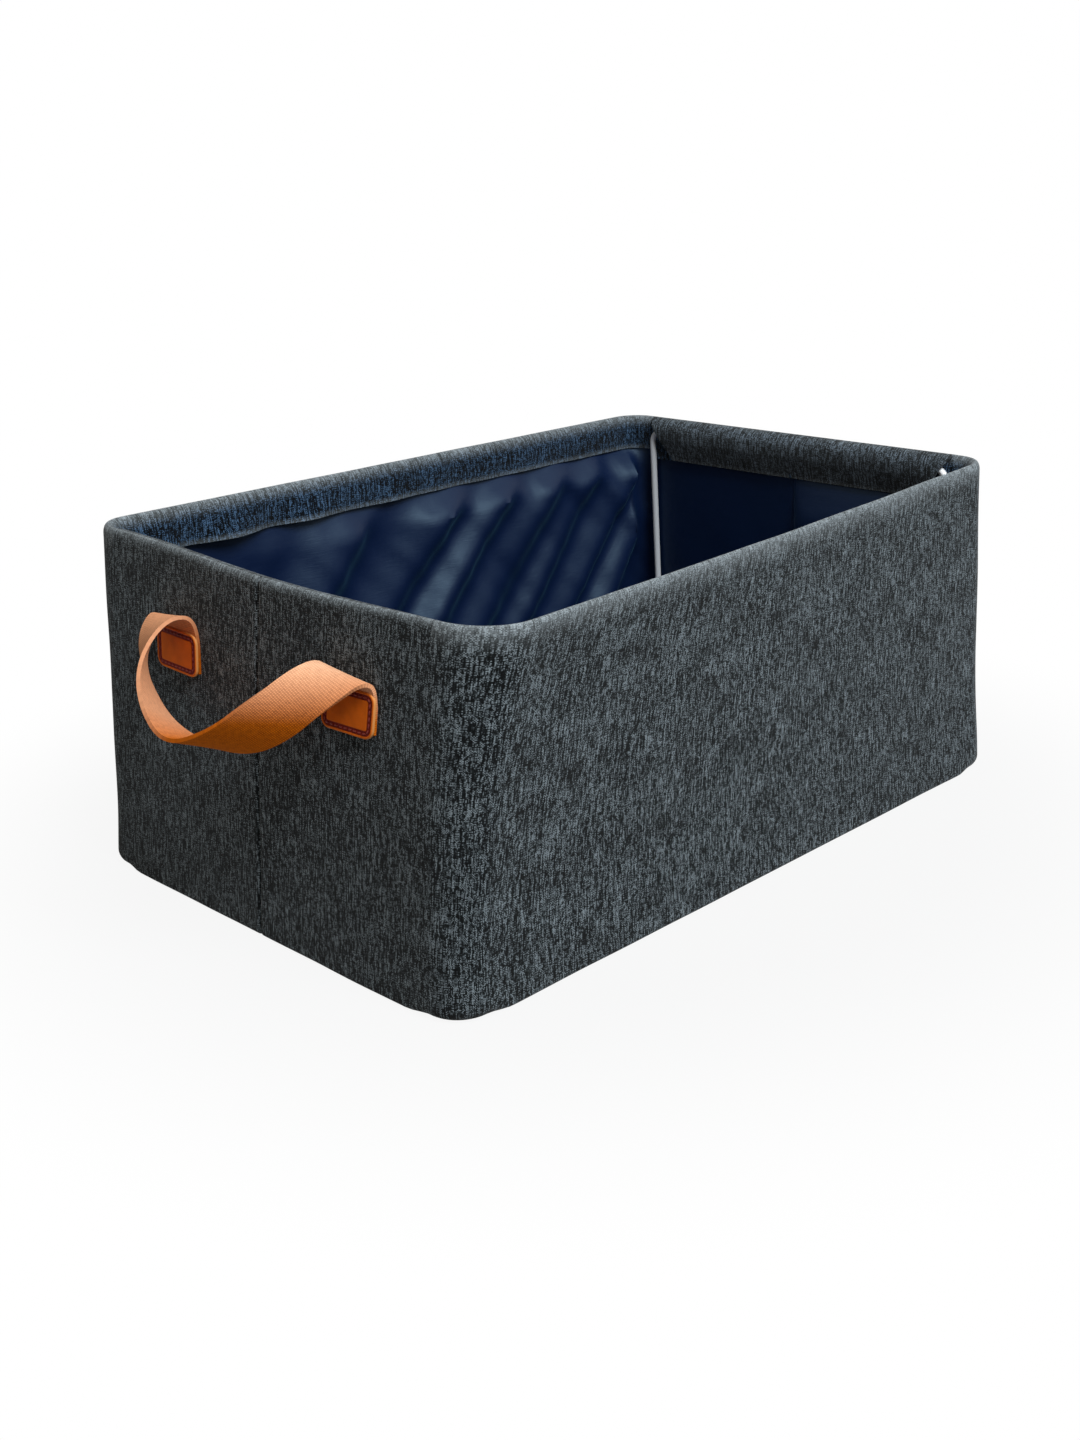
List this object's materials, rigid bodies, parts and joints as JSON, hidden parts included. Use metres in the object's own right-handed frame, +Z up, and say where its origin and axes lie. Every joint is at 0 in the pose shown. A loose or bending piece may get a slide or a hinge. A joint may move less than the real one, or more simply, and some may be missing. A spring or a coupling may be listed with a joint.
{
  "type": "fabric storage bin",
  "caption": "Open-top collapsible cloth storage bin with a wire frame in each folding end, a dark lining and a drooping webbing handle on each end.",
  "frame": {"origin": "middle of the bin's base, on the surface it stands on", "axes": "+X along the bin, towards the rear end; +Y to the left seen from the front end; +Z up"},
  "size_m": [0.52, 0.276, 0.18],
  "materials": {
    "outer_cloth": "matt",
    "lining_cloth": "satin",
    "interlining_felt": "matt",
    "base_board": "matt",
    "coated_wire": "gloss",
    "webbing": "matt",
    "patch_leather": "satin"
  },
  "bodies": {
    "base": {"base_cloth": "outer_cloth", "base_board": "base_board", "floor_lining": "lining_cloth", "left_side_outer": "outer_cloth", "left_side_interlining": "interlining_felt", "left_side_lining": "lining_cloth", "left_side_rim_hem": "outer_cloth", "right_side_outer": "outer_cloth", "right_side_interlining": "interlining_felt", "right_side_lining": "lining_cloth", "right_side_rim_hem": "outer_cloth", "front_hinge_sleeve": "lining_cloth", "rear_hinge_sleeve": "lining_cloth"},
    "front_end": {"front_end_interlining": "interlining_felt", "front_end_rim_hem": "outer_cloth", "front_wire_ring": "coated_wire", "front_end_outer_left": "outer_cloth", "front_end_lining_left": "lining_cloth", "front_strap_end_left": "webbing", "front_strap_patch_left": "patch_leather", "front_end_outer_right": "outer_cloth", "front_end_lining_right": "lining_cloth", "front_strap_end_right": "webbing", "front_strap_patch_right": "patch_leather"},
    "rear_end": {"rear_end_interlining": "interlining_felt", "rear_end_rim_hem": "outer_cloth", "rear_wire_ring": "coated_wire", "rear_end_outer_left": "outer_cloth", "rear_end_lining_left": "lining_cloth", "rear_strap_end_left": "webbing", "rear_strap_patch_left": "patch_leather", "rear_end_outer_right": "outer_cloth", "rear_end_lining_right": "lining_cloth", "rear_strap_end_right": "webbing", "rear_strap_patch_right": "patch_leather"},
    "front_handle": {"front_handle_loop": "webbing"},
    "rear_handle": {"rear_handle_loop": "webbing"}
  },
  "joints": [
    {"name": "front_fold", "type": "hinge", "parent": "base", "child": "front_end", "pos_m": [-0.20565, 0, 0.0074], "axis": [0, 1, 0], "range_deg": [0, 85]},
    {"name": "rear_fold", "type": "hinge", "parent": "base", "child": "rear_end", "pos_m": [0.20565, 0, 0.0074], "axis": [0, -1, 0], "range_deg": [0, 85]},
    {"name": "front_handle_swing", "type": "hinge", "parent": "front_end", "child": "front_handle", "pos_m": [-0.21564, 0, 0.14589], "axis": [0, 1, 0], "range_deg": [0, 100]},
    {"name": "rear_handle_swing", "type": "hinge", "parent": "rear_end", "child": "rear_handle", "pos_m": [0.21564, 0, 0.14589], "axis": [0, -1, 0], "range_deg": [0, 100]}
  ],
  "couplings": [
    {"joint": "rear_fold", "follows": "front_fold", "ratio": 1}
  ]
}
